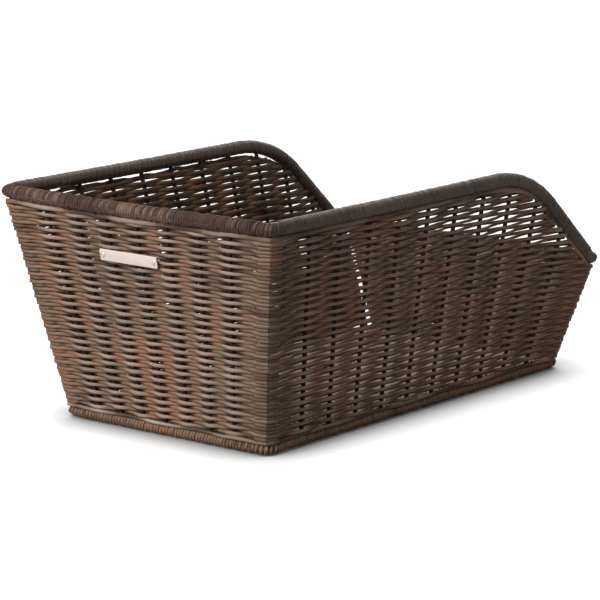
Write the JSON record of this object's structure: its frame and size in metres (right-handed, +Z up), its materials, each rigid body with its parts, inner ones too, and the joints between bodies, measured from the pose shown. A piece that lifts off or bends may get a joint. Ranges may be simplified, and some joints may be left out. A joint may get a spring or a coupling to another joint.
{
  "type": "bicycle basket",
  "caption": "Open bicycle carrier basket with leaning woven walls, a bound rim that slopes down to one low end, a plaited foot border, a wire and cane frame and a blank plate.",
  "frame": {"origin": "on the floor under the middle of the basket's box", "axes": "+X towards the low end of the rim, +Y to the left as seen from the tall end, +Z up"},
  "size_m": [0.4994, 0.3214, 0.2157],
  "materials": {
    "wall_cane": "stained split cane, dry satin",
    "base_cane": "stained split cane, dry satin",
    "border_cane": "dark stained cane, dry satin",
    "stake_cane": "stained round cane",
    "frame_wire": "brown coated steel wire",
    "plate_enamel": "cream enamel, satin",
    "rivet_steel": "plain steel"
  },
  "bodies": {
    "root": {"rim_hoop": "frame_wire", "foot_hoop": "frame_wire", "corner_post_left_rear": "frame_wire", "corner_post_rear_right": "frame_wire", "corner_post_right_front": "frame_wire", "corner_post_front_left": "frame_wire", "base_bar_1": "frame_wire", "base_bar_2": "frame_wire", "base_bar_3": "frame_wire", "stake_rear_1": "stake_cane", "stake_rear_2": "stake_cane", "stake_rear_3": "stake_cane", "stake_rear_4": "stake_cane", "stake_rear_5": "stake_cane", "stake_rear_6": "stake_cane", "stake_rear_7": "stake_cane", "stake_right_1": "stake_cane", "stake_right_2": "stake_cane", "stake_right_3": "stake_cane", "stake_right_4": "stake_cane", "stake_right_5": "stake_cane", "stake_right_6": "stake_cane", "stake_right_7": "stake_cane", "stake_right_8": "stake_cane", "stake_right_9": "stake_cane", "stake_right_10": "stake_cane", "stake_front_1": "stake_cane", "stake_front_2": "stake_cane", "stake_front_3": "stake_cane", "stake_front_4": "stake_cane", "stake_front_5": "stake_cane", "stake_front_6": "stake_cane", "stake_front_7": "stake_cane", "stake_left_1": "stake_cane", "stake_left_2": "stake_cane", "stake_left_3": "stake_cane", "stake_left_4": "stake_cane", "stake_left_5": "stake_cane", "stake_left_6": "stake_cane", "stake_left_7": "stake_cane", "stake_left_8": "stake_cane", "stake_left_9": "stake_cane", "stake_left_10": "stake_cane", "base_weave": "base_cane", "wall_weave_rear": "wall_cane", "rim_border_rear": "border_cane", "foot_border_rear": "border_cane", "wall_weave_right": "wall_cane", "rim_border_right": "border_cane", "foot_border_right": "border_cane", "wall_weave_front": "wall_cane", "rim_border_front": "border_cane", "foot_border_front": "border_cane", "wall_weave_left": "wall_cane", "rim_border_left": "border_cane", "foot_border_left": "border_cane", "name_plate": "plate_enamel", "plate_rivet_left": "rivet_steel", "plate_rivet_right": "rivet_steel"}
  },
  "joints": []
}
